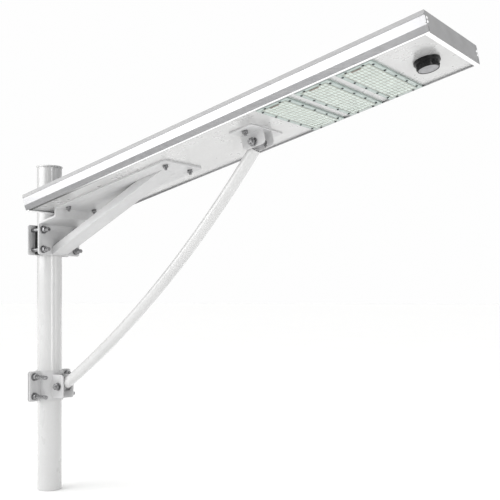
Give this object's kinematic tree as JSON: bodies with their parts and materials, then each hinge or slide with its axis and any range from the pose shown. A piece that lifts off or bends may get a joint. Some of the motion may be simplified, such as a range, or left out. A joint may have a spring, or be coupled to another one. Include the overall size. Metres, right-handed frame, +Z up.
{
  "type": "solar street lamp",
  "caption": "Long shallow solar street lamp tilted up from its pole, with LED modules and a motion sensor below, a folded bracket, a pole clamp and a bowed strut.",
  "frame": {"origin": "centre of the pole tube's open lower end", "axes": "+Z up along the pole, +X from the pole towards the lamp's outer end, +Y across the lamp"},
  "size_m": [1.3752, 0.306, 1.1935],
  "materials": {
    "painted_pole": "satin",
    "painted_strut": "satin",
    "rail_alloy": "satin",
    "cap_alloy": "satin",
    "base_paint": "satin",
    "panel_glass": "gloss",
    "solar_cell": "gloss",
    "lens_plastic": "gloss",
    "led_board": "matte",
    "sink_alloy": "satin",
    "sensor_plastic": "matte",
    "sensor_window": "satin",
    "battery_cell": "satin",
    "case_plastic": "matte",
    "wire": "matte",
    "bracket_paint": "satin",
    "zinc_steel": "satin"
  },
  "bodies": {
    "pole": {"pole_tube": "painted_pole", "pole_cap": "painted_pole"},
    "lamp_head": {"side_rail_near": "rail_alloy", "side_rail_far": "rail_alloy", "end_cap_inner": "cap_alloy", "end_cap_outer": "cap_alloy", "end_cap_screws": "zinc_steel", "base_sheet": "base_paint", "solar_glass": "panel_glass", "solar_cells": "solar_cell", "led_lens_1": "lens_plastic", "led_lens_2": "lens_plastic", "led_lens_3": "lens_plastic", "led_board_1": "led_board", "led_board_2": "led_board", "led_board_3": "led_board", "heat_sink_1": "sink_alloy", "heat_sink_2": "sink_alloy", "heat_sink_3": "sink_alloy", "module_screws": "zinc_steel", "sensor_body": "sensor_plastic", "sensor_lens": "sensor_window", "sensor_nut": "sensor_plastic", "battery_tray": "sink_alloy", "battery_cells": "battery_cell", "battery_straps": "sink_alloy", "controller_case": "case_plastic", "controller_board": "led_board", "wiring_loom": "wire", "bracket_plate": "bracket_paint", "bracket_saddles": "bracket_paint", "bracket_brace": "bracket_paint", "upper_clamp_rear": "bracket_paint", "upper_clamp_bolts": "zinc_steel", "upper_clamp_nuts": "zinc_steel", "upper_clamp_washers": "zinc_steel", "lamp_bolts": "zinc_steel", "lamp_nuts": "zinc_steel", "lamp_washers": "zinc_steel", "strut_clevis": "bracket_paint", "upper_pivot_bolt": "zinc_steel", "upper_pivot_nut": "zinc_steel", "upper_pivot_washers": "zinc_steel"},
    "strut": {"strut_tube": "painted_strut", "strut_upper_eye": "zinc_steel", "strut_lower_eye": "zinc_steel"},
    "lower_clamp": {"lower_clamp_front": "bracket_paint", "lower_clamp_ears": "bracket_paint", "lower_clamp_rear": "bracket_paint", "lower_clamp_bolts": "zinc_steel", "lower_clamp_nuts": "zinc_steel", "lower_clamp_washers": "zinc_steel", "lower_pivot_bolt": "zinc_steel", "lower_pivot_nut": "zinc_steel", "lower_pivot_washers": "zinc_steel"}
  },
  "joints": [
    {"name": "lamp_turn", "type": "hinge", "parent": "pole", "child": "lamp_head", "pos_m": [0, 0, 0.775], "axis": [0, 0, 1], "continuous": true},
    {"name": "lower_clamp_turn", "type": "hinge", "parent": "pole", "child": "lower_clamp", "pos_m": [0, 0, 0.325], "axis": [0, 0, 1], "continuous": true},
    {"name": "strut_swing", "type": "hinge", "parent": "lamp_head", "child": "strut", "pos_m": [0.79876, 0, 0.99575], "axis": [0, -1, 0], "range_deg": [0, 110]}
  ],
  "couplings": [
    {"joint": "lower_clamp_turn", "follows": "lamp_turn", "ratio": 1}
  ]
}
